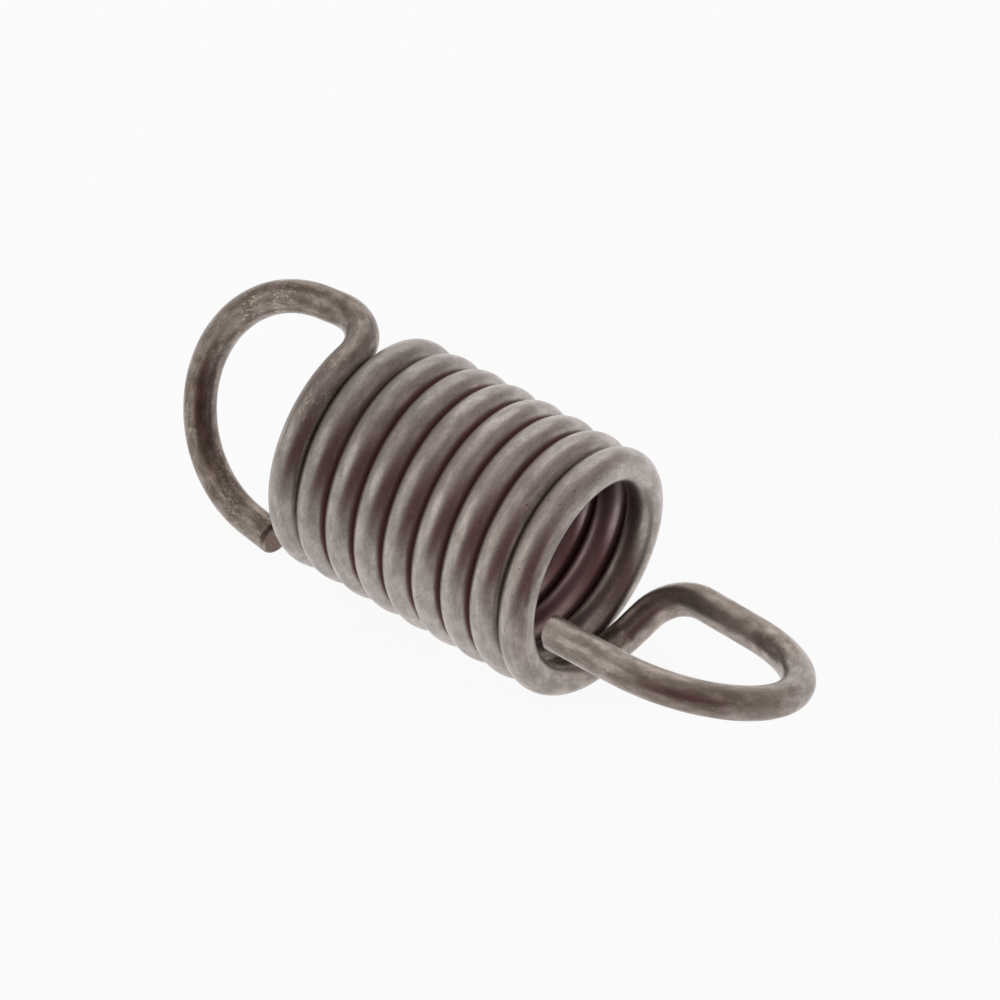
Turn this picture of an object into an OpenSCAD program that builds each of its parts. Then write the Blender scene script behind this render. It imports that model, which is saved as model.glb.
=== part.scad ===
// Extension spring, one length of round wire bent to shape. Sizes in millimetres, Z up.
// It lies on its side along X, with the middle of its box over the origin and its lowest point at Z = 0.
// Angles about the length are measured from straight up towards -Y.

/* [Wire] */
// Diameter of the wire
wire_d = 2; // [1.2:0.1:2.6]
// Slant of the sheared cut at the ends of the wire, in degrees
cut_slant = 12; // [0:1:25]
// Radius of the edge that the cutter rolls over, at the ends of the wire
cut_round = 0.25; // [0.1:0.05:0.5]

/* [Coil] */
// Mean diameter of the coil, wire middle to wire middle
coil_mean_d = 12.8; // [11.5:0.1:16]
// Turns between the two end bends
coil_turns = 8.5; // [3.5:1:16.5]
// Clear gap from one turn to the next, too small to see
turn_gap = 0.11; // [0.06:0.01:0.6]

/* [Left loop] */
// Angle of the loop's plane about the length
left_angle = -31.5; // [-45:0.5:-15]
// Angle by which the wire leaves the coil ahead of the loop's plane
left_lead = 29; // [28:1:36]
// Radius of the bend from the coil into the loop
left_bend_r = 3.4; // [2:0.1:3.4]
// Mean radius of the loop
left_loop_r = 7.1; // [6.4:0.1:7.4]
// Distance from the coil's end to the middle of the loop
left_reach = 4; // [3.2:0.1:8]
// Height of the loop's middle in its own plane, off the coil's axis
left_shift = -0.2; // [-0.6:0.1:0.2]
// Part of a circle that the loop goes round, in degrees
left_sweep = 166; // [140:1:175]
// Straight length of wire before the left cut end
left_tail = 2; // [0.7:0.1:2.2]
// Side of the wire on which the left cut slants forward, in degrees about it from its outer side
left_cut_side = -90; // [-180:5:180]

/* [Right loop] */
// Angle from the plane of the left loop to that of the right one
loops_angle = 91; // [80:1:100]
// Straight length in which the wire leaves the last turn
rise_run = 2.2; // [1.6:0.1:3.2]
// Radius of the gentle bend out of the last turn
rise_bend_r = 1.5; // [1.3:0.1:2.6]
// Distance from the coil's end to the corner of the loop
corner_out = 1.5; // [1:0.1:2.2]
// Distance from the coil's axis to the corner of the loop
corner_side = 6.5; // [6.1:0.1:7.2]
// Radius of the bend into the loop
right_bend_r = 3.2; // [2:0.1:3.9]
// Distance of the loop's plane from the coil's axis
right_off = 1; // [0:0.1:2]
// Distance from the coil's end to the middle of the loop
right_reach = 7; // [6.4:0.1:12]
// Distance of the loop's middle from the coil's axis in its own plane
right_shift = 0.6; // [0:0.1:1.2]
// Mean radius of the loop
right_loop_r = 6.7; // [6.2:0.1:7]
// Part of a circle that the loop goes round, in degrees
right_sweep = 175; // [165:1:185]
// Straight length of wire before the right cut end
right_tail = 4.7; // [3:0.1:5.4]
// Side of the wire on which the right cut slants forward, in degrees about it from its outer side
right_cut_side = 120; // [-180:5:180]

/* [Colour] */
// Colour of the bare steel
steel_colour = "#7A6E68";

/* [Hidden] */
wire_r = wire_d / 2;
coil_r = coil_mean_d / 2;
pitch = wire_d + turn_gap;
coil_len = pitch * coil_turns;
start_angle = left_angle + left_lead;
right_angle = left_angle + loops_angle;
round_sides = 16;
steps_a_turn = 30;
coil_steps = round(coil_turns * steps_a_turn);
bend_steps = 8;
rise_steps = 4;
loop_steps = 26;
round_steps = 3;

function unit(v) = v / norm(v);
function out_at(a) = [0, -sin(a), cos(a)];
function side_at(a) = [0, cos(a), sin(a)];

// Every step of the wire's path is a pair: its place and the way it runs.
function coil_step(u) =
    let (a = start_angle + 360 * u)
    [[pitch * u, 0, 0] + coil_r * out_at(a),
     unit([pitch / (2 * PI * coil_r), -cos(a), -sin(a)])];

// The rounded corner at b, coming from a and going on to c.
function corner(a, b, c, r, steps) =
    let (back = unit(a - b), on = unit(c - b), full = acos(back * on),
         first = b + back * r / tan(full / 2),
         mid = b + unit(back + on) * r / sin(full / 2),
         e = unit(first - mid))
    [for (i = [0 : steps])
        let (s = (180 - full) * i / steps)
        [mid + r * (cos(s) * e - sin(s) * back), -sin(s) * e - cos(s) * back]];

// A place in a loop's plane: x along the spring, s out from its axis.
function in_plane(x, s, a, off) = [x, 0, 0] + s * out_at(a) + off * side_at(a);

// The angle on a loop's circle at which the straight from its corner touches it.
function touch(cx, cs, mx, ms, r) =
    atan2(cs - ms, cx - mx) + acos(r / norm([cx - mx, cs - ms]));

// The round of a loop, with the straight tail after it.
function loop(mx, ms, r, from, sweep, tail, a, off) =
    let (arc = [for (i = [0 : loop_steps])
            let (t = from + sweep * i / loop_steps)
            [in_plane(mx + r * cos(t), ms + r * sin(t), a, off),
             in_plane(-sin(t), cos(t), a, 0)]],
         last = arc[loop_steps])
    concat(arc, [[last[0] + tail * last[1], last[1]]]);

coil = [for (i = [0 : coil_steps]) coil_step(i / coil_steps * coil_turns)];

// Left side, from the coil outwards.
left_from = coil[0][0];
left_way = -coil[0][1];
left_run = -(left_from * side_at(left_angle)) / (left_way * side_at(left_angle));
left_corner = left_from + left_run * left_way;
left_touch = touch(left_corner[0], left_corner * out_at(left_angle), -left_reach, left_shift, left_loop_r);
left_loop = loop(-left_reach, left_shift, left_loop_r, left_touch, left_sweep, left_tail, left_angle, 0);
left_side = concat(corner(left_from, left_corner, left_loop[0][0], left_bend_r, bend_steps), left_loop);

// Right side, from the coil outwards.
right_from = coil[coil_steps][0];
rise_corner = right_from + rise_run * coil[coil_steps][1];
right_corner = in_plane(coil_len + corner_out, -corner_side, right_angle, -right_off);
right_touch = touch(coil_len + corner_out, -corner_side, coil_len + right_reach, right_shift, right_loop_r);
right_loop = loop(coil_len + right_reach, right_shift, right_loop_r, right_touch, right_sweep, right_tail,
    right_angle, -right_off);
right_side = concat(corner(right_from, rise_corner, right_corner, rise_bend_r, rise_steps),
    corner(rise_corner, right_corner, right_loop[0][0], right_bend_r, bend_steps), right_loop);

// The outward side of the wire at each step, carried on from the coil without twist.
function square_to(v, way) = unit(v - (v * way) * way);
function carried(path, v0) =
    [for (i = 0, v = square_to(v0, path[0][1]); i < len(path);
          i = i + 1, v = i < len(path) ? square_to(v, path[i][1]) : v) v];

// A ring of corners round the wire; lean tips it for the slant of a cut, forward at one side.
function ring(p, way, out, lean = 0, side = 0, r = wire_r) =
    let (across = cross(way, out))
    [for (k = [0 : round_sides - 1])
        let (t = 360 * k / round_sides)
        p + r * (cos(t) * out + sin(t) * across + lean * cos(t - side) * way)];

// The rings of a cut end, whose edge is rolled over; away is the way out of the end.
function cut_end(p, way, away, out, side) =
    [for (i = [0 : round_steps])
        let (t = 90 * i / round_steps)
        ring(p - cut_round * (1 - sin(t)) * away, way, out, tan(cut_slant) * (away * way), side,
            wire_r - cut_round * (1 - cos(t)))];
function turned(list) = [for (i = [len(list) - 1 : -1 : 0]) list[i]];

coil_out = [for (i = [0 : coil_steps]) out_at(start_angle + 360 * coil_turns * i / coil_steps)];
left_out = carried(left_side, coil_out[0]);
right_out = carried(right_side, coil_out[coil_steps]);
left_last = len(left_side) - 1;
right_last = len(right_side) - 1;
left_end = left_side[left_last];
right_end = right_side[right_last];

rings = concat(
    turned(cut_end(left_end[0], -left_end[1], left_end[1], left_out[left_last], left_cut_side)),
    [for (i = [left_last - 1 : -1 : 0]) ring(left_side[i][0], -left_side[i][1], left_out[i])],
    [for (i = [0 : coil_steps]) ring(coil[i][0], coil[i][1], coil_out[i])],
    [for (i = [0 : right_last - 1]) ring(right_side[i][0], right_side[i][1], right_out[i])],
    cut_end(right_end[0], right_end[1], right_end[1], right_out[right_last], right_cut_side));

corners = [for (r = rings) for (p = r) p];
low = [for (j = [0 : 2]) min([for (p = corners) p[j]])];
high = [for (j = [0 : 2]) max([for (p = corners) p[j]])];
last_ring = (len(rings) - 1) * round_sides;

sides = [for (i = [0 : len(rings) - 2]) for (k = [0 : round_sides - 1])
    let (a = i * round_sides + k, b = i * round_sides + (k + 1) % round_sides)
    each [[a, a + round_sides, b], [b, a + round_sides, b + round_sides]]];
ends = [[for (k = [0 : round_sides - 1]) k], [for (k = [round_sides - 1 : -1 : 0]) last_ring + k]];

module spring_wire() {
    color(steel_colour)
        translate([-(low[0] + high[0]) / 2, -(low[1] + high[1]) / 2, -low[2]])
            polyhedron(points = corners, faces = concat(sides, ends), convexity = 12);
}

spring_wire();
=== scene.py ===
"""Extension spring: one length of drawn steel wire, close-wound, with a round loop at each end."""
import logging
import math
from dataclasses import dataclass, field
from enum import Enum

import bmesh
import bpy
from mathutils import Matrix, Vector, noise


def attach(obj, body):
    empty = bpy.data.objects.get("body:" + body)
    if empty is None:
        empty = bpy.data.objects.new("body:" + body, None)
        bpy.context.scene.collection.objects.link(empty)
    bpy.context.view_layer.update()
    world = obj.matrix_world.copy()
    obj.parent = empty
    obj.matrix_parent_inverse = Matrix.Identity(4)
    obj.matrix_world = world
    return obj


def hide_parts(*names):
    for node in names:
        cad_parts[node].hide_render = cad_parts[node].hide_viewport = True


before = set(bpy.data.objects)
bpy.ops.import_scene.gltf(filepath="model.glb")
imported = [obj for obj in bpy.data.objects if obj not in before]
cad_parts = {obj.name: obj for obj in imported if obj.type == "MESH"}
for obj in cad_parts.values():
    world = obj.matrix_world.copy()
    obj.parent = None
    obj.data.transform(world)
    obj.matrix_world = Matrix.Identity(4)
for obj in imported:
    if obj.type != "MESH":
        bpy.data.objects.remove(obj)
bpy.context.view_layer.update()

logging.basicConfig(level=logging.INFO, format="%(message)s")
log = logging.getLogger("spring")

MM = 0.001
WIRE_COORD = "wire_coord"
OPEN_SIDE = "open_side"

Feed = bpy.types.Node | bpy.types.NodeSocket | float | bool | str | tuple[float, ...] | Vector


class CutEnd(Enum):
    """The two cut ends of the wire, each with the side towards which its cut slants forward."""

    LEFT = (-0.0689, 0.5016, -0.8624)
    RIGHT = (0.0013, 0.4445, 0.8958)


def linear(colour: str) -> tuple[float, float, float, float]:
    """Turn an sRGB hex colour into linear light.

    Args:
        colour: The colour as #RRGGBB.

    Returns:
        Red, green, blue and an alpha of 1, all linear.
    """
    parts = [int(colour[i:i + 2], 16) / 255 for i in (1, 3, 5)]
    r, g, b = (c / 12.92 if c <= 0.04045 else ((c + 0.055) / 1.055) ** 2.4 for c in parts)
    return (r, g, b, 1.0)


def add(tree: bpy.types.NodeTree, kind: str, inputs: dict[int | str, Feed] | None = None,
        **settings: object) -> bpy.types.Node:
    """Add one node with its settings, and link or set its inputs.

    Args:
        tree: The node tree that takes the node.
        kind: The node's type name.
        inputs: For each input, by its number or by its name among those in use: a node or a socket
            to link, or a value to set. A node stands for its first output in use.
        settings: Properties of the node itself.

    Returns:
        The new node.
    """
    made = tree.nodes.new(kind)
    for name, value in settings.items():
        setattr(made, name, value)
    for key, value in (inputs or {}).items():
        socket = made.inputs[key] if isinstance(key, int) else next(
            s for s in made.inputs if s.enabled and s.name == key)
        if isinstance(value, bpy.types.Node):
            value = next(s for s in value.outputs if s.enabled)
        if isinstance(value, bpy.types.NodeSocket):
            tree.links.new(value, socket)
        else:
            socket.default_value = value
    return made


def empty_material(name: str) -> tuple[bpy.types.Material, bpy.types.NodeTree]:
    """Make a material without nodes.

    Args:
        name: Name of the material.

    Returns:
        The material and its empty node tree.
    """
    made = bpy.data.materials.new(name)
    made.use_nodes = True
    made.node_tree.nodes.clear()
    return made, made.node_tree


def direction(azimuth: float, elevation: float) -> Vector:
    """The unit vector at an azimuth from +X and an elevation, in degrees."""
    turn, rise = math.radians(azimuth), math.radians(elevation)
    return Vector((math.cos(rise) * math.cos(turn), math.cos(rise) * math.sin(turn), math.sin(rise)))


def out_at(angle: float) -> Vector:
    """The way out from the coil's axis at an angle in degrees from upright towards -Y."""
    a = math.radians(angle)
    return Vector((0.0, -math.sin(a), math.cos(a)))


def side_at(angle: float) -> Vector:
    """The way square to out_at, across a loop's plane."""
    a = math.radians(angle)
    return Vector((0.0, math.cos(a), math.sin(a)))


@dataclass(frozen=True)
class Fade:
    """A share that goes smoothly from one value to another while a reading goes from start to end."""

    start: float
    end: float
    at_start: float = 0.0
    at_end: float = 1.0

    def of(self, tree: bpy.types.NodeTree, reading: Feed) -> bpy.types.Node:
        """Fade by a reading.

        Args:
            tree: The node tree that takes the fade.
            reading: The node or socket that is read.

        Returns:
            The node that gives the share.
        """
        return add(tree, "ShaderNodeMapRange",
                   {"Value": reading, "From Min": self.start, "From Max": self.end,
                    "To Min": self.at_start, "To Max": self.at_end}, interpolation_type="SMOOTHSTEP")


@dataclass(frozen=True)
class SurfaceGrain:
    """An uneven pattern on the wire, of a real size in millimetres and drawn out along it.

    The offset keeps one pattern apart from the next.
    """

    size: float
    stretch: float
    offset: float
    detail: float = 2.0
    roughness: float = 0.6

    def on(self, tree: bpy.types.NodeTree, place: Feed) -> bpy.types.Node:
        """Lay the pattern on the wire.

        Args:
            tree: The material's node tree.
            place: Place on the wire in millimetres, with the length along it first.

        Returns:
            The node of the pattern, which is about 0.5 in the mean.
        """
        spot = add(tree, "ShaderNodeMapping",
                   {"Vector": place, "Location": (self.offset, self.offset * 0.7, -self.offset * 0.4),
                    "Scale": (1 / self.stretch, 1.0, 1.0)})
        return add(tree, "ShaderNodeTexNoise",
                   {"Vector": spot, "Scale": 1 / self.size, "Detail": self.detail, "Roughness": self.roughness})


@dataclass(frozen=True)
class DrawnSteel:
    """Spring steel wire, drawn through dies and left with the thin dull film of its drawing.

    The film gives a satin grey face with a fine grain along the wire. Where the loops were formed it is
    darker, olive-brown and chafed to pale flecks, and between the turns a wine-brown tone is painted as shade.
    Places along the wire are in millimetres from its left cut end.
    """

    # The bare face and the film over it, on the coil and where the loops were formed.
    face: str = "#B8B3AD"
    film: str = "#928D84"
    formed_face: str = "#A99E93"
    formed_film: str = "#75695A"
    fleck: str = "#CFC6B8"
    pit: str = "#3A2822"
    # Painted shade: this wine-brown tone on the flanks where the turns meet stands in for the shade in those
    # gaps.
    gap_shade: str = "#7C585B"
    # Painted reflected light: a paler, pinker tone on the innermost face of each turn of the coil.
    inside: str = "#BBA6A8"

    # Steel reflects as a metal. The painted shade between the turns is duller and rougher, and a thin oil
    # shines over the open faces.
    metallic: float = 0.94
    gap_shade_metallic: float = 0.30
    roughness: float = 0.36
    gap_shade_roughness: float = 0.60
    oil: float = 0.7
    oil_roughness: float = 0.26

    # Die lines and grain are finer on the real wire: they are as coarse here as they need to be to show.
    lines: SurfaceGrain = SurfaceGrain(0.10, 20.0, 3.1)
    grain: SurfaceGrain = SurfaceGrain(0.11, 1.8, 9.0)
    mottle: SurfaceGrain = SurfaceGrain(0.65, 2.0, 17.0, 4.0)
    clusters: SurfaceGrain = SurfaceGrain(2.6, 1.5, 29.0)
    flecks: SurfaceGrain = SurfaceGrain(0.14, 2.0, 41.0, 3.0)
    pits: SurfaceGrain = SurfaceGrain(0.16, 1.4, 53.0, 1.0)
    relief: float = 0.004

    # How the patterns show: the film's cover, the shades of grain and lines, flecks and pits.
    film_cover: Fade = Fade(0.34, 0.64)
    film_on_coil: float = 0.65
    film_by_grain: float = 0.5
    grain_shade: Fade = Fade(0.25, 0.75, 0.78, 1.22)
    line_shade: Fade = Fade(0.3, 0.7, -0.05, 0.05)
    line_relief: float = 0.6
    fleck_limit: Fade = Fade(0.40, 0.66, 0.76, 0.62)
    fleck_cover: Fade = Fade(0.0, 0.09, 0.0, 0.6)
    more_when_worn: float = -0.10
    pit_cover: Fade = Fade(0.72, 0.80, 0.0, 0.8)
    mottle_roughness: Fade = Fade(0.3, 0.7, -0.05, 0.10)

    # Where along the wire each state holds.
    left_formed: Fade = Fade(22.0, 38.0, 1.0, 0.0)
    right_formed: Fade = Fade(350.0, 372.0, 0.0, 0.6)
    left_chafed: Fade = Fade(24.0, 60.0, 1.0, 0.0)
    # Darker towards the left end: the colour is multiplied by 0.8 at 40 mm, rising to 1 at 270 mm.
    darker_to_left: Fade = Fade(40.0, 270.0, 0.8, 1.0)
    gap_shade_begins: Fade = Fade(62.0, 78.0)
    gap_shade_ends: Fade = Fade(296.0, 318.0, 1.0, 0.0)

    # Which side of the wire, from 1 on the outside of the coil to -1 on its inside.
    inner_light_side: Fade = Fade(-0.60, -0.90)
    off_outside: Fade = Fade(0.50, 0.15)
    off_inside: Fade = Fade(-0.92, -0.50)

    def skin(self, tree: bpy.types.NodeTree, along: Feed, grain: Feed, mottle: Feed) -> bpy.types.Node:
        """Colour of the steel under its film, on the coil and on the loops.

        Args:
            tree: The material's node tree.
            along: Length along the wire.
            grain: The fine grain.
            mottle: The mottle of the film.

        Returns:
            The node of the colour.
        """
        rough_edge = add(tree, "ShaderNodeMath", {0: grain, 1: -0.5}, operation="ADD")
        rough_edge = add(tree, "ShaderNodeMath", {0: rough_edge, 1: self.film_by_grain}, operation="MULTIPLY")
        patchy = add(tree, "ShaderNodeMath", {0: mottle, 1: rough_edge}, operation="ADD")
        film = self.film_cover.of(tree, patchy)
        thin_film = add(tree, "ShaderNodeMath", {0: film, 1: self.film_on_coil}, operation="MULTIPLY")
        plain = add(tree, "ShaderNodeMix",
                    {"Factor": thin_film, "A": linear(self.face), "B": linear(self.film)}, data_type="RGBA")
        worked = add(tree, "ShaderNodeMix",
                     {"Factor": film, "A": linear(self.formed_face), "B": linear(self.formed_film)},
                     data_type="RGBA")
        formed = add(tree, "ShaderNodeMath",
                     {0: self.left_formed.of(tree, along), 1: self.right_formed.of(tree, along)},
                     operation="ADD")
        return add(tree, "ShaderNodeMix", {"Factor": formed, "A": plain, "B": worked}, data_type="RGBA")

    def shaded(self, tree: bpy.types.NodeTree, base: Feed, along: Feed, grain: Feed,
               lines: Feed) -> bpy.types.Node:
        """Shade a colour by the grain and the die lines, and darken it towards the wire's left end.

        Args:
            tree: The material's node tree.
            base: The colour.
            along: Length along the wire.
            grain: The fine grain.
            lines: The die lines.

        Returns:
            The node of the shaded colour.
        """
        shade = add(tree, "ShaderNodeMath",
                    {0: self.grain_shade.of(tree, grain), 1: self.line_shade.of(tree, lines)}, operation="ADD")
        shade = add(tree, "ShaderNodeMath", {0: shade, 1: self.darker_to_left.of(tree, along)}, operation="MULTIPLY")
        shade = add(tree, "ShaderNodeCombineXYZ", {"X": shade, "Y": shade, "Z": shade})
        return add(tree, "ShaderNodeMix", {"Factor": 1.0, "A": base, "B": shade},
                   data_type="RGBA", blend_type="MULTIPLY", clamp_result=False)

    def chafed(self, tree: bpy.types.NodeTree, base: Feed, along: Feed, place: Feed) -> bpy.types.Node:
        """Add the pale flecks of chafing, in clusters and thickest on the loops, and a few dark pits.

        Args:
            tree: The material's node tree.
            base: The colour below them.
            along: Length along the wire.
            place: Place on the wire in millimetres.

        Returns:
            The node of the colour.
        """
        worn = add(tree, "ShaderNodeMath",
                   {0: self.left_chafed.of(tree, along), 1: self.right_formed.of(tree, along)},
                   operation="ADD")
        lower = add(tree, "ShaderNodeMath", {0: worn, 1: self.more_when_worn}, operation="MULTIPLY")
        limit = self.fleck_limit.of(tree, self.clusters.on(tree, place))
        limit = add(tree, "ShaderNodeMath", {0: lower, 1: limit}, operation="ADD")
        above = add(tree, "ShaderNodeMath", {0: self.flecks.on(tree, place), 1: limit}, operation="SUBTRACT")
        base = add(tree, "ShaderNodeMix",
                   {"Factor": self.fleck_cover.of(tree, above), "A": base, "B": linear(self.fleck)},
                   data_type="RGBA")
        pitted = self.pit_cover.of(tree, self.pits.on(tree, place))
        return add(tree, "ShaderNodeMix", {"Factor": pitted, "A": base, "B": linear(self.pit)},
                   data_type="RGBA")

    def hidden_flanks(self, tree: bpy.types.NodeTree, on_coil: Feed, open_side: Feed) -> bpy.types.Node:
        """The share of painted shade: full on the wire's flanks between two turns, none on its open faces.

        Args:
            tree: The material's node tree.
            on_coil: The share of the coil.
            open_side: Side of the wire.

        Returns:
            The node of the share.
        """
        flank = add(tree, "ShaderNodeMath",
                    {0: self.off_outside.of(tree, open_side), 1: on_coil}, operation="MULTIPLY")
        return add(tree, "ShaderNodeMath",
                   {0: flank, 1: self.off_inside.of(tree, open_side)}, operation="MULTIPLY")

    def material(self) -> bpy.types.Material:
        """Drawn spring steel: satin, lined along the wire, mottled, chafed on its loops, with painted shade in
        its gaps.

        Returns:
            The material. It reads the wire's own coordinates and the side of the wire.
        """
        made, tree = empty_material("drawn_spring_steel")
        coord = add(tree, "ShaderNodeAttribute", attribute_name=WIRE_COORD, attribute_type="GEOMETRY")
        side = add(tree, "ShaderNodeAttribute", attribute_name=OPEN_SIDE, attribute_type="GEOMETRY")
        open_side = side.outputs["Fac"]
        place = add(tree, "ShaderNodeVectorMath", {0: coord.outputs["Vector"], 1: (1 / MM, 1 / MM, 1 / MM)},
                    operation="MULTIPLY")
        along = add(tree, "ShaderNodeSeparateXYZ", {0: place})
        lines, grain, mottle = (g.on(tree, place) for g in (self.lines, self.grain, self.mottle))

        base = self.skin(tree, along, grain, mottle)
        base = self.shaded(tree, base, along, grain, lines)
        base = self.chafed(tree, base, along, place)

        on_coil = add(tree, "ShaderNodeMath",
                      {0: self.gap_shade_begins.of(tree, along), 1: self.gap_shade_ends.of(tree, along)},
                      operation="MULTIPLY")
        # Painted reflected light: the innermost face of each coil turn is set to the paler inside tone.
        inner_light = add(tree, "ShaderNodeMath",
                    {0: self.inner_light_side.of(tree, open_side), 1: on_coil}, operation="MULTIPLY")
        base = add(tree, "ShaderNodeMix", {"Factor": inner_light, "A": base, "B": linear(self.inside)},
                   data_type="RGBA")
        # Painted shade: the flanks between the turns take the wine-brown gap tone.
        gap_shade_share = self.hidden_flanks(tree, on_coil, open_side)
        base = add(tree, "ShaderNodeMix", {"Factor": gap_shade_share, "A": base, "B": linear(self.gap_shade)},
                   data_type="RGBA")

        rough = add(tree, "ShaderNodeMath",
                    {0: self.mottle_roughness.of(tree, mottle),
                     1: Fade(0.0, 1.0, self.roughness, self.gap_shade_roughness).of(tree, gap_shade_share)},
                    operation="ADD")
        height = add(tree, "ShaderNodeMath", {0: lines, 1: self.line_relief}, operation="MULTIPLY")
        for finer in (grain, mottle):
            height = add(tree, "ShaderNodeMath", {0: height, 1: finer}, operation="ADD")
        bump = add(tree, "ShaderNodeBump", {"Strength": 0.5, "Distance": self.relief * MM, "Height": height})
        shader = add(tree, "ShaderNodeBsdfPrincipled",
                     {"Base Color": base, "Roughness": rough, "Normal": bump,
                      "Metallic": Fade(0.0, 1.0, self.metallic, self.gap_shade_metallic).of(tree, gap_shade_share),
                      "Coat Weight": Fade(0.0, 1.0, self.oil, 0.0).of(tree, gap_shade_share),
                      "Coat Roughness": self.oil_roughness})
        add(tree, "ShaderNodeOutputMaterial", {"Surface": shader})
        return made


@dataclass(frozen=True)
class ShearedSteel:
    """The bare face that a cutter leaves: torn grain, rougher than the drawn side and without its film."""

    face: str = "#9C8C81"
    torn: str = "#54463F"
    metallic: float = 0.9
    roughness: float = 0.5
    grain_size: float = 0.22
    grain_depth: float = 0.04

    def material(self) -> bpy.types.Material:
        """Bare sheared steel: torn grain across the end of the wire.

        Returns:
            The material.
        """
        made, tree = empty_material("sheared_spring_steel")
        place = add(tree, "ShaderNodeTexCoord").outputs["Object"]
        grain = add(tree, "ShaderNodeTexNoise",
                    {"Vector": place, "Scale": 1 / (self.grain_size * MM), "Detail": 4.0, "Roughness": 0.65})
        colour = add(tree, "ShaderNodeMix",
                     {"Factor": grain, "A": linear(self.torn), "B": linear(self.face)}, data_type="RGBA")
        bump = add(tree, "ShaderNodeBump",
                   {"Strength": 0.6, "Distance": self.grain_depth * MM, "Height": grain})
        shader = add(tree, "ShaderNodeBsdfPrincipled",
                     {"Base Color": colour, "Metallic": self.metallic, "Roughness": self.roughness,
                      "Normal": bump})
        add(tree, "ShaderNodeOutputMaterial", {"Surface": shader})
        return made


@dataclass(frozen=True)
class PaleFloor:
    """A plain matt studio sheet that shows as white and keeps the object's shadow.

    Metal sees it glow faintly warm on the far side, and fade to matt towards the dim side.
    """

    paint: str = "#F8F8F8"
    white: str = "#FFFFFF"
    glow: str = "#FFFAFA"
    size: float = 1.6
    lit_for_camera: float = 0.93
    dim_azimuth: float = -36.0
    lit_for_metal: Fade = Fade(0.0, 50 * MM, 0.97, 0.0)

    def material(self) -> bpy.types.Material:
        """Matt white sheet; the eye and the metal see it partly lit from below, as on a light table.

        Returns:
            The material.
        """
        made, tree = empty_material("pale_floor")
        ray = add(tree, "ShaderNodeLightPath")
        metal = add(tree, "ShaderNodeMath",
                    {0: ray.outputs["Is Glossy Ray"], 1: ray.outputs["Is Transmission Ray"]},
                    operation="MAXIMUM")
        place = add(tree, "ShaderNodeTexCoord").outputs["Object"]
        reach = add(tree, "ShaderNodeVectorMath", {0: place, 1: direction(self.dim_azimuth, 0.0)},
                    operation="DOT_PRODUCT")
        for_metal = add(tree, "ShaderNodeMath", {0: metal, 1: self.lit_for_metal.of(tree, reach)},
                        operation="MULTIPLY")
        for_camera = add(tree, "ShaderNodeMath", {0: ray.outputs["Is Camera Ray"], 1: self.lit_for_camera},
                         operation="MULTIPLY")
        share = add(tree, "ShaderNodeMath", {0: for_metal, 1: for_camera}, operation="ADD")
        tone = add(tree, "ShaderNodeMix",
                   {"Factor": metal, "A": linear(self.white), "B": linear(self.glow)}, data_type="RGBA")
        matt = add(tree, "ShaderNodeBsdfDiffuse", {"Color": linear(self.paint)})
        lit = add(tree, "ShaderNodeEmission", {"Color": tone, "Strength": 1.0})
        both = add(tree, "ShaderNodeMixShader", {0: share, 1: matt, 2: lit})
        add(tree, "ShaderNodeOutputMaterial", {"Surface": both})
        return made


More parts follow.
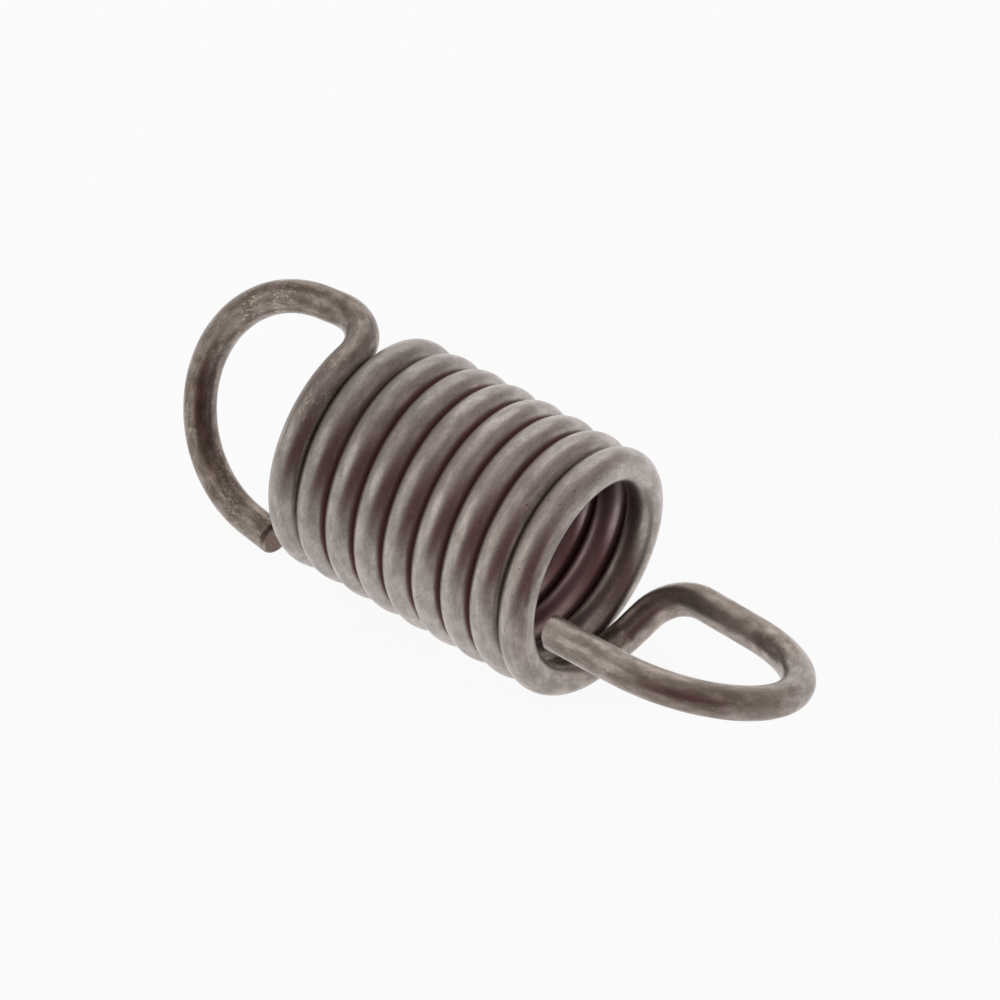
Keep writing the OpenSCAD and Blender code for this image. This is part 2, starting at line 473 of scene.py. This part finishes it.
@dataclass
class WirePath:
    """The line that the middle of the wire follows, from the same sizes as the solid, in millimetres.

    The origin is where the coil's axis meets the plane in which the wire enters the coil.
    """

    origin: tuple[float, float, float] = (-10.262, 0.237079, 7.46422)
    wire_d: float = 2.0
    cut_round: float = 0.25
    coil_mean_d: float = 12.8
    turns: float = 8.5
    turn_gap: float = 0.11
    left_angle: float = -31.5
    left_lead: float = 29.0
    left_bend_r: float = 3.4
    left_loop_r: float = 7.1
    left_reach: float = 4.0
    left_shift: float = -0.2
    left_sweep: float = 166.0
    left_tail: float = 2.0
    loops_angle: float = 91.0
    rise_run: float = 2.2
    rise_bend_r: float = 1.5
    corner_out: float = 1.5
    corner_side: float = 6.5
    right_bend_r: float = 3.2
    right_off: float = 1.0
    right_reach: float = 7.0
    right_shift: float = 0.6
    right_loop_r: float = 6.7
    right_sweep: float = 175.0
    right_tail: float = 4.7
    step: float = 0.3
    least_steps: int = 4
    least_gap: float = 0.06

    @property
    def pitch(self) -> float:
        """Distance from one turn to the next."""
        return self.wire_d + self.turn_gap

    @property
    def coil_length(self) -> float:
        """Length of the coil from where the wire enters it to where it leaves."""
        return self.pitch * self.turns

    @property
    def start_angle(self) -> float:
        """Angle at which the wire enters the coil from the left loop."""
        return self.left_angle + self.left_lead

    @property
    def right_angle(self) -> float:
        """Angle of the right loop's plane."""
        return self.left_angle + self.loops_angle

    def coil_point(self, turn: float) -> Vector:
        """The middle of the wire in the coil.

        Args:
            turn: Number of turns from the coil's start.

        Returns:
            The place.
        """
        place = out_at(self.start_angle + 360.0 * turn) * (self.coil_mean_d / 2)
        place.x = self.pitch * turn
        return place

    def coil_way(self, turn: float) -> Vector:
        """The way that the wire runs in the coil.

        Args:
            turn: Number of turns from the coil's start.

        Returns:
            The direction.
        """
        a = math.radians(self.start_angle + 360.0 * turn)
        lead = self.pitch / (math.pi * self.coil_mean_d)
        return Vector((lead, -math.cos(a), -math.sin(a))).normalized()

    def corner(self, a: Vector, b: Vector, c: Vector, radius: float) -> list[Vector]:
        """Round the corner at b between a and c.

        Args:
            a: A place before the corner.
            b: The corner.
            c: A place after the corner.
            radius: Radius of the bend.

        Returns:
            Points along the bend.
        """
        back, onward = (a - b).normalized(), (c - b).normalized()
        full = back.angle(onward)
        first = b + back * (radius / math.tan(full / 2))
        middle = b + (back + onward).normalized() * (radius / math.sin(full / 2))
        spoke = (first - middle).normalized()
        turn = math.pi - full
        count = max(self.least_steps, round(radius * turn / self.step))
        return [middle + radius * (math.cos(turn * i / count) * spoke - math.sin(turn * i / count) * back)
                for i in range(count + 1)]

    def loop(self, x: float, s: float, radius: float, corner: tuple[float, float], sweep: float,
             tail: float, angle: float, off: float) -> list[Vector]:
        """The round of an end loop and the straight tail after it.

        Args:
            x: Place of the loop's middle along the spring.
            s: Place of the loop's middle out from the axis, in the loop's plane.
            radius: Mean radius of the loop.
            corner: Place of the corner before the loop, in the same plane.
            sweep: Degrees of the circle that the wire goes round.
            tail: Straight length after it.
            angle: Angle of the loop's plane about the length.
            off: Distance of the plane from the axis.

        Returns:
            Points from where the straight touches the circle to the cut end.
        """
        def place(u: float, v: float) -> Vector:
            """A place in the loop's plane, u along the spring and v out from its axis."""
            return Vector((u, 0.0, 0.0)) + v * out_at(angle) + off * side_at(angle)

        du, dv = corner[0] - x, corner[1] - s
        begin = math.atan2(dv, du) + math.acos(radius / math.hypot(du, dv))
        turn = math.radians(sweep)
        count = round(radius * turn / self.step)
        round_part = [place(x + radius * math.cos(begin + turn * i / count),
                            s + radius * math.sin(begin + turn * i / count)) for i in range(count + 1)]
        last = begin + turn
        way = place(-math.sin(last), math.cos(last)) - place(0.0, 0.0)
        return round_part + [round_part[-1] + (tail - self.cut_round) * way]

    def left_side(self) -> list[Vector]:
        """The wire from the coil to the left cut end.

        Returns:
            Points along it, from the coil outwards.
        """
        start, way = self.coil_point(0.0), -self.coil_way(0.0)
        across = side_at(self.left_angle)
        bend_at = start - way * (start.dot(across) / way.dot(across))
        flat = (bend_at.x, bend_at.dot(out_at(self.left_angle)))
        loop = self.loop(-self.left_reach, self.left_shift, self.left_loop_r, flat, self.left_sweep,
                         self.left_tail, self.left_angle, 0.0)
        return [start] + self.corner(start, bend_at, loop[0], self.left_bend_r) + loop

    def right_side(self) -> list[Vector]:
        """The wire from the coil to the right cut end.

        Returns:
            Points along it, from the coil outwards.
        """
        end, way = self.coil_point(self.turns), self.coil_way(self.turns)
        rise = end + way * self.rise_run
        flat = (self.coil_length + self.corner_out, -self.corner_side)
        bend_at = Vector((flat[0], 0.0, 0.0)) + flat[1] * out_at(self.right_angle)
        bend_at -= self.right_off * side_at(self.right_angle)
        loop = self.loop(self.coil_length + self.right_reach, self.right_shift, self.right_loop_r, flat,
                         self.right_sweep, self.right_tail, self.right_angle, -self.right_off)
        rising = [end] + self.corner(end, rise, bend_at, self.rise_bend_r)
        return rising + self.corner(rise, bend_at, loop[0], self.right_bend_r) + loop

    def points(self) -> list[Vector]:
        """The whole line.

        Returns:
            Points from the left cut end to the right one, about a step apart.
        """
        count = round(math.pi * self.coil_mean_d * self.turns / self.step)
        coil = [self.coil_point(self.turns * i / count) for i in range(count + 1)]
        line = self.even(self.left_side()[::-1] + coil[1:-1] + self.right_side())
        return [p + Vector(self.origin) for p in line]

    def even(self, line: list[Vector]) -> list[Vector]:
        """Fill the straight stretches of a line so that no step is long.

        Args:
            line: The points in order.

        Returns:
            The same line with points added on its long steps and close pairs merged.
        """
        out = [line[0]]
        for a, b in zip(line, line[1:]):
            gap = (b - a).length
            if gap < self.least_gap:
                continue
            count = max(1, round(gap / self.step))
            out += [a.lerp(b, i / count) for i in range(1, count + 1)]
        return out


@dataclass
class ShearedEnd:
    """One cut end: an edge that the cutter rolled over, then a slanted and slightly torn face."""

    end: CutEnd
    work: bmesh.types.BMesh
    coord: bmesh.types.BMLayerItem
    rim: list[bmesh.types.BMEdge]
    edge_round: float
    steel: ShearedSteel
    slant: float = 12.0
    edge_rows: int = 5
    face_rows: int = 9

    def ordered_rim(self) -> list[bmesh.types.BMVert]:
        """Put the corners of the rim in order.

        Returns:
            The corners, one after the other round the wire.
        """
        links: dict[bmesh.types.BMVert, list[bmesh.types.BMVert]] = {}
        for edge in self.rim:
            a, b = edge.verts
            links.setdefault(a, []).append(b)
            links.setdefault(b, []).append(a)
        ring = [min(links, key=lambda v: v.index)]
        ring.append(links[ring[0]][0])
        while len(ring) < len(links):
            ring.append(next(v for v in links[ring[-1]] if v is not ring[-2]))
        return ring

    def way_out(self, ring: list[bmesh.types.BMVert], centre: Vector) -> Vector:
        """The way in which the wire ends.

        Args:
            ring: The wire's last ring.
            centre: The middle of that ring.

        Returns:
            The direction out of the end.
        """
        normal = (ring[0].co - centre).cross(ring[1].co - centre).normalized()
        others = (e.other_vert(ring[0]) for e in ring[0].link_edges)
        inside = next(v for v in others if v not in ring)
        return -normal if normal.dot(ring[0].co - inside.co) < 0 else normal

    def build(self) -> None:
        """Add the rows of the rolled edge and of the face, and close the middle."""
        ring = self.ordered_rim()
        centre = sum((v.co for v in ring), Vector()) / len(ring)
        way = self.way_out(ring, centre)
        radius = (ring[0].co - centre).length
        forward_side = Vector(self.end.value) * math.tan(math.radians(self.slant))
        grain = self.steel.grain_size * MM

        def row(reach: float, forward: float, torn: bool) -> list[bmesh.types.BMVert]:
            """Add one ring of corners.

            Args:
                reach: Distance from the middle.
                forward: Distance out from the wire's last ring.
                torn: Whether the ring lies on the torn face.

            Returns:
                The corners in the order of the rim.
            """
            made = []
            for v in ring:
                spoke = (v.co - centre).normalized() * reach
                place = centre + spoke + way * (forward + spoke.dot(forward_side))
                if torn:
                    place -= way * abs(noise.noise(place / grain)) * self.steel.grain_depth * MM
                corner = self.work.verts.new(place)
                corner[self.coord] = v[self.coord]
                corner[self.coord].x += (radius - reach) * (1 if self.end is CutEnd.RIGHT else -1)
                made.append(corner)
            return made

        rows = [ring]
        for k in range(1, self.edge_rows + 1):
            t = math.pi / 2 * k / self.edge_rows
            reach = radius - self.edge_round * (1 - math.cos(t))
            rows.append(row(reach, self.edge_round * math.sin(t), False))
        face_reach = radius - self.edge_round
        for k in range(1, self.face_rows):
            rows.append(row(face_reach * (1 - k / self.face_rows), self.edge_round, True))
        for k, (a, b) in enumerate(zip(rows, rows[1:])):
            for i in range(len(ring)):
                j = (i + 1) % len(ring)
                made = self.work.faces.new((a[i], a[j], b[j], b[i]))
                made.smooth = True
                made.material_index = 0 if k < self.edge_rows - 1 else 1
        hub = self.work.faces.new(rows[-1])
        hub.material_index = 1


@dataclass
class SpringWire:
    """The whole spring: the swept wire with its two sheared ends.

    The real turns lie against each other, which a solid's can't, so the coil's wire is pressed
    a little wider along the spring. Lengths are in millimetres.
    """

    path: WirePath = field(default_factory=WirePath)
    steel: DrawnSteel = field(default_factory=DrawnSteel)
    cut: ShearedSteel = field(default_factory=ShearedSteel)
    sides: int = 56
    fullness: float = 0.992
    unevenness: float = 0.016
    uneven_length: float = 7.0
    press: float = 0.05
    pressed_to: float = 0.50
    unpressed_from: float = 0.56
    lean: float = -0.25

    def line_object(self) -> bpy.types.Object:
        """Make the wire's middle line.

        Returns:
            A chain of edges, in metres, in the part's frame.
        """
        points = [p * MM for p in self.path.points()]
        mesh = bpy.data.meshes.new("wire_line")
        mesh.from_pydata(points, [(i, i + 1) for i in range(len(points) - 1)], [])
        made = bpy.data.objects.new("wire_line", mesh)
        bpy.context.scene.collection.objects.link(made)
        return made

    def swept_profile(self, tree: bpy.types.NodeTree, sizes: bpy.types.Node) -> bpy.types.Node:
        """Sweep a round profile along the line, slightly uneven in its thickness.

        Args:
            tree: The sweep's node tree.
            sizes: The tree's group input.

        Returns:
            The tube, with the length along the wire and the place on its profile as attributes.
        """
        line = add(tree, "GeometryNodeMeshToCurve", {0: sizes.outputs["Geometry"]})
        length = add(tree, "GeometryNodeSplineParameter").outputs["Length"]
        uneven_at = add(tree, "ShaderNodeMath", {0: length, 1: sizes.outputs["Uneven length"]},
                        operation="DIVIDE")
        swell = add(tree, "ShaderNodeTexNoise", {"W": uneven_at, "Scale": 1.0, "Detail": 2.0},
                    noise_dimensions="1D")
        thinner = add(tree, "ShaderNodeMath", {0: swell, 1: sizes.outputs["Unevenness"]},
                      operation="MULTIPLY")
        scale = add(tree, "ShaderNodeMath", {0: sizes.outputs["Fullness"], 1: thinner},
                    operation="SUBTRACT")
        marked = add(tree, "GeometryNodeStoreNamedAttribute",
                     {"Geometry": line, "Name": "along", "Value": length}, data_type="FLOAT", domain="POINT")
        profile = add(tree, "GeometryNodeCurvePrimitiveCircle",
                      {"Resolution": sizes.outputs["Sides"], "Radius": sizes.outputs["Wire radius"]})
        where = add(tree, "GeometryNodeInputPosition")
        profile = add(tree, "GeometryNodeStoreNamedAttribute",
                      {"Geometry": profile, "Name": "about", "Value": where},
                      data_type="FLOAT_VECTOR", domain="POINT")
        swept = add(tree, "GeometryNodeCurveToMesh",
                    {"Curve": marked, "Profile Curve": profile, "Scale": scale, "Fill Caps": False})
        along = add(tree, "GeometryNodeInputNamedAttribute", {"Name": "along"}, data_type="FLOAT")
        about = add(tree, "GeometryNodeInputNamedAttribute", {"Name": "about"}, data_type="FLOAT_VECTOR")
        about = add(tree, "ShaderNodeSeparateXYZ", {0: about})
        coord = add(tree, "ShaderNodeCombineXYZ",
                    {"X": along, "Y": about.outputs["X"], "Z": about.outputs["Y"]})
        return add(tree, "GeometryNodeStoreNamedAttribute",
                   {"Geometry": swept, "Name": WIRE_COORD, "Value": coord},
                   data_type="FLOAT_VECTOR", domain="POINT")

    def marked_side(self, tree: bpy.types.NodeTree, tube: bpy.types.Node, from_axis: bpy.types.Node,
                    facing: bpy.types.Node) -> bpy.types.Node:
        """Mark how far each place faces out of the coil, leaned a little to the left.

        Args:
            tree: The sweep's node tree.
            tube: The swept wire.
            from_axis: The place seen from the start of the coil's axis.
            facing: The surface's normal.

        Returns:
            The tube with the open side as an attribute.
        """
        across = add(tree, "ShaderNodeVectorMath", {0: from_axis, 1: (0.0, 1.0, 1.0)}, operation="MULTIPLY")
        out = add(tree, "ShaderNodeVectorMath", {0: across}, operation="NORMALIZE")
        leaned = add(tree, "ShaderNodeVectorMath", {0: out, 1: (self.lean, 0.0, 0.0)}, operation="ADD")
        opened = add(tree, "ShaderNodeVectorMath", {0: leaned, 1: facing}, operation="DOT_PRODUCT")
        return add(tree, "GeometryNodeStoreNamedAttribute",
                   {"Geometry": tube, "Name": OPEN_SIDE, "Value": opened}, data_type="FLOAT", domain="POINT")

    def pressed_coil(self, tree: bpy.types.NodeTree, sizes: bpy.types.Node, tube: bpy.types.Node,
                     from_axis: bpy.types.Node, facing: bpy.types.Node) -> bpy.types.Node:
        """Widen the wire along the spring's length, in the coil alone.

        Args:
            tree: The sweep's node tree.
            sizes: The tree's group input.
            tube: The swept wire.
            from_axis: The place seen from the start of the coil's axis.
            facing: The surface's normal.

        Returns:
            The tube whose turns nearly touch.
        """
        share = add(tree, "ShaderNodeSeparateXYZ", {0: from_axis})
        share = add(tree, "ShaderNodeMath", {0: share, 1: sizes.outputs["Coil length"]},
                    operation="DIVIDE")
        share = add(tree, "ShaderNodeMath", {0: share, 1: 0.5}, operation="SUBTRACT")
        from_middle = add(tree, "ShaderNodeMath", {0: share}, operation="ABSOLUTE")
        held = add(tree, "ShaderNodeMapRange",
                   {"Value": from_middle, "From Min": self.pressed_to, "From Max": self.unpressed_from,
                    "To Min": 1.0, "To Max": 0.0})
        swell = add(tree, "ShaderNodeMath", {0: held, 1: sizes.outputs["Press"]}, operation="MULTIPLY")
        sideways = add(tree, "ShaderNodeVectorMath", {0: facing, 1: (1.0, 0.0, 0.0)}, operation="MULTIPLY")
        swollen = add(tree, "ShaderNodeVectorMath", {"Vector": sideways, "Scale": swell}, operation="SCALE")
        return add(tree, "GeometryNodeSetPosition", {"Geometry": tube, "Offset": swollen})

    def sweep_tree(self) -> bpy.types.NodeTree:
        """Build the node tree that sweeps a round profile along the wire's line.

        Returns:
            The tree, with the wire's sizes and its steel as named inputs.
        """
        tree = bpy.data.node_groups.new("sweep_wire", "GeometryNodeTree")
        face = tree.interface
        for name, kind in (("Geometry", "Geometry"), ("Wire radius", "Float"), ("Sides", "Int"),
                           ("Fullness", "Float"), ("Unevenness", "Float"), ("Uneven length", "Float"),
                           ("Axis", "Vector"), ("Coil length", "Float"), ("Press", "Float"),
                           ("Steel", "Material")):
            face.new_socket(name, in_out="INPUT", socket_type=f"NodeSocket{kind}")
        face.new_socket("Geometry", in_out="OUTPUT", socket_type="NodeSocketGeometry")
        sizes = add(tree, "NodeGroupInput")

        tube = self.swept_profile(tree, sizes)
        where = add(tree, "GeometryNodeInputPosition")
        from_axis = add(tree, "ShaderNodeVectorMath", {0: where, 1: sizes.outputs["Axis"]},
                        operation="SUBTRACT")
        facing = add(tree, "GeometryNodeInputNormal")
        tube = self.marked_side(tree, tube, from_axis, facing)
        tube = self.pressed_coil(tree, sizes, tube, from_axis, facing)
        smooth = add(tree, "GeometryNodeSetShadeSmooth", {"Geometry": tube, "Shade Smooth": True})
        real = add(tree, "GeometryNodeRealizeInstances", {"Geometry": smooth})
        dressed = add(tree, "GeometryNodeSetMaterial", {"Geometry": real, "Material": sizes.outputs["Steel"]})
        add(tree, "NodeGroupOutput", {0: dressed})
        return tree

    def sweep(self, steel: bpy.types.Material) -> bpy.types.Object:
        """Run the sweep and keep its result as a plain mesh.

        Args:
            steel: Material of the drawn side.

        Returns:
            The open tube of wire.
        """
        line = self.line_object()
        tree = self.sweep_tree()
        modifier = line.modifiers.new("sweep", "NODES")
        modifier.node_group = tree
        sockets = {s.name: s.identifier for s in tree.interface.items_tree
                   if s.item_type == "SOCKET" and s.in_out == "INPUT"}
        for name, value in (("Wire radius", self.path.wire_d * MM / 2), ("Sides", self.sides),
                            ("Fullness", self.fullness), ("Unevenness", self.unevenness),
                            ("Uneven length", self.uneven_length * MM),
                            ("Axis", tuple(c * MM for c in self.path.origin)), ("Press", self.press * MM),
                            ("Coil length", self.path.coil_length * MM), ("Steel", steel)):
            modifier[sockets[name]] = value
        bpy.context.view_layer.update()
        graph = bpy.context.evaluated_depsgraph_get()
        mesh = bpy.data.meshes.new_from_object(line.evaluated_get(graph), depsgraph=graph)
        mesh.name = "drawn_wire"
        made = bpy.data.objects.new("drawn_wire", mesh)
        bpy.context.scene.collection.objects.link(made)
        bpy.data.objects.remove(line)
        return made

    def close_ends(self, wire: bpy.types.Object) -> None:
        """Close both cut ends of the swept wire.

        Args:
            wire: The open tube, whose first and last rings are completed.
        """
        work = bmesh.new()
        work.from_mesh(wire.data)
        coord = work.verts.layers.float_vector[WIRE_COORD]
        middle = max(v[coord].x for v in work.verts) / 2
        rims: dict[CutEnd, list[bmesh.types.BMEdge]] = {end: [] for end in CutEnd}
        for edge in work.edges:
            if edge.is_boundary:
                rims[CutEnd.LEFT if edge.verts[0][coord].x < middle else CutEnd.RIGHT].append(edge)
        for end, rim in rims.items():
            ShearedEnd(end, work, coord, rim, self.path.cut_round * MM, self.cut).build()
        bmesh.ops.recalc_face_normals(work, faces=work.faces)
        work.to_mesh(wire.data)
        work.free()

    def build(self) -> bpy.types.Object:
        """Build the wire, close its ends, dress it and put it in the solid's place.

        Returns:
            The finished wire.
        """
        drawn, sheared = self.steel.material(), self.cut.material()
        wire = self.sweep(drawn)
        wire.data.materials.clear()
        wire.data.materials.append(drawn)
        wire.data.materials.append(sheared)
        self.close_ends(wire)
        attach(wire, "root")
        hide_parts("spring_wire")
        return wire


@dataclass(frozen=True)
class SoftBox:
    """A square soft lamp, placed by the direction it shines from."""

    azimuth: float
    elevation: float
    size: float
    power: float
    distance: float = 0.5
    aim_height: float = 7.0

    def hang(self, name: str) -> bpy.types.Object:
        """Hang the lamp so that it looks at the spring.

        Args:
            name: Name of the lamp.

        Returns:
            The lamp.
        """
        data = bpy.data.lights.new(name, "AREA")
        data.shape, data.size, data.energy = "SQUARE", self.size, self.power
        made = bpy.data.objects.new(name, data)
        way = direction(self.azimuth, self.elevation)
        made.location = Vector((0.0, 0.0, self.aim_height * MM)) + way * self.distance
        made.rotation_euler = way.to_track_quat("Z", "Y").to_euler()
        bpy.context.scene.collection.objects.link(made)
        return made


@dataclass(frozen=True)
class TentPatch:
    """A part of the light tent round the spring, brighter or darker than the rest of it.

    The angles are in degrees: where the patch's middle is, and how far from it the patch is full and gone.
    """

    azimuth: float
    elevation: float
    full: float
    gone: float
    gain: float

    def level(self, tree: bpy.types.NodeTree, way: Feed) -> bpy.types.Node:
        """What the patch adds to the tent's brightness in a direction.

        Args:
            tree: The world's node tree.
            way: The direction.

        Returns:
            The node of the brightness to add.
        """
        near = add(tree, "ShaderNodeVectorMath", {0: way, 1: direction(self.azimuth, self.elevation)},
                   operation="DOT_PRODUCT")
        gone, full = (math.cos(math.radians(a)) for a in (self.gone, self.full))
        return Fade(gone, full, 0.0, self.gain).of(tree, near)


@dataclass
class Studio:
    """The pale floor, the soft lights, the light tent and the camera."""

    floor: PaleFloor = field(default_factory=PaleFloor)
    lamps: dict[str, SoftBox] = field(default_factory=lambda: {
        "left_box": SoftBox(-128.0, 35.0, 0.40, 0.22),
        "back_box": SoftBox(122.0, 35.0, 0.40, 0.26),
        "top_box": SoftBox(160.0, 78.0, 0.40, 0.16),
    })
    tent: tuple[TentPatch, ...] = (
        TentPatch(-122.0, 18.0, 20.0, 38.0, 0.26),
        TentPatch(120.0, 14.0, 14.0, 34.0, 0.24),
        TentPatch(-175.0, 25.0, 15.0, 55.0, 0.08),
        TentPatch(0.0, 90.0, 10.0, 40.0, -0.10),
        TentPatch(12.0, 0.0, 5.0, 26.0, 0.40),
        TentPatch(-44.0, 10.0, 22.0, 62.0, -0.36),
    )
    tent_level: float = 0.36
    room: str = "#62383E"
    white: str = "#FFFAF5"
    camera_at: tuple[float, float, float] = (190.4426, -207.2392, 291.0847)
    camera_right: tuple[float, float, float] = (0.772827, 0.63227, -0.054522)
    camera_up: tuple[float, float, float] = (-0.419038, 0.572931, 0.704384)
    lens: float = 253.95
    sensor: float = 36.0

    def build_floor(self) -> bpy.types.Object:
        """Lay the pale floor under the spring.

        Returns:
            The floor.
        """
        half = self.floor.size / 2
        mesh = bpy.data.meshes.new("floor")
        mesh.from_pydata([(-half, -half, 0), (half, -half, 0), (half, half, 0), (-half, half, 0)],
                         [], [(0, 1, 2, 3)])
        made = bpy.data.objects.new("floor", mesh)
        bpy.context.scene.collection.objects.link(made)
        mesh.materials.append(self.floor.material())
        return made

    def build_world(self) -> bpy.types.World:
        """Surround the spring with a white light tent, open towards the camera, where the room is dark.

        Returns:
            The world.
        """
        world = bpy.data.worlds.new("light_tent")
        bpy.context.scene.world = world
        world.use_nodes = True
        tree = world.node_tree
        tree.nodes.clear()
        way = add(tree, "ShaderNodeTexCoord").outputs["Generated"]
        level = self.tent_level
        for patch in self.tent:
            level = add(tree, "ShaderNodeMath", {0: level, 1: patch.level(tree, way)}, operation="ADD")
        pale = add(tree, "ShaderNodeClamp", {"Value": level})
        ray = add(tree, "ShaderNodeLightPath")
        seen = add(tree, "ShaderNodeMath", {0: ray.outputs["Is Camera Ray"], 1: pale}, operation="MAXIMUM")
        room = add(tree, "ShaderNodeBackground", {"Color": linear(self.room), "Strength": 1.0})
        white = add(tree, "ShaderNodeBackground", {"Color": linear(self.white), "Strength": 1.0})
        both = add(tree, "ShaderNodeMixShader", {0: seen, 1: room, 2: white})
        add(tree, "ShaderNodeOutputWorld", {"Surface": both})
        return world

    def build_camera(self) -> bpy.types.Object:
        """Make the camera at the photograph's viewing angle.

        Returns:
            The camera.
        """
        data = bpy.data.cameras.new("camera")
        data.lens, data.sensor_width, data.sensor_fit = self.lens, self.sensor, "HORIZONTAL"
        data.clip_start, data.clip_end = 0.01, 20.0
        made = bpy.data.objects.new("camera", data)
        right, up = Vector(self.camera_right).normalized(), Vector(self.camera_up)
        up = (up - up.dot(right) * right).normalized()
        turn = Matrix((right, up, right.cross(up))).transposed().to_4x4()
        made.matrix_world = Matrix.Translation(Vector(self.camera_at) * MM) @ turn
        bpy.context.scene.collection.objects.link(made)
        bpy.context.scene.camera = made
        return made

    def build(self) -> list[bpy.types.ID]:
        """Set up floor, light, surroundings and camera.

        Returns:
            The things that were made, in order.
        """
        made = [self.build_floor()]
        made += [lamp.hang(name) for name, lamp in self.lamps.items()]
        made += [self.build_world(), self.build_camera()]
        bpy.context.scene.view_settings.view_transform = "Standard"
        return made


def main() -> None:
    """Build the spring and its studio in order, and report each piece."""
    wire = SpringWire().build()
    log.info("%s: %d faces", wire.name, len(wire.data.polygons))
    for made in Studio().build():
        log.info("%s: in place", made.name)


if __name__ == "__main__":
    main()
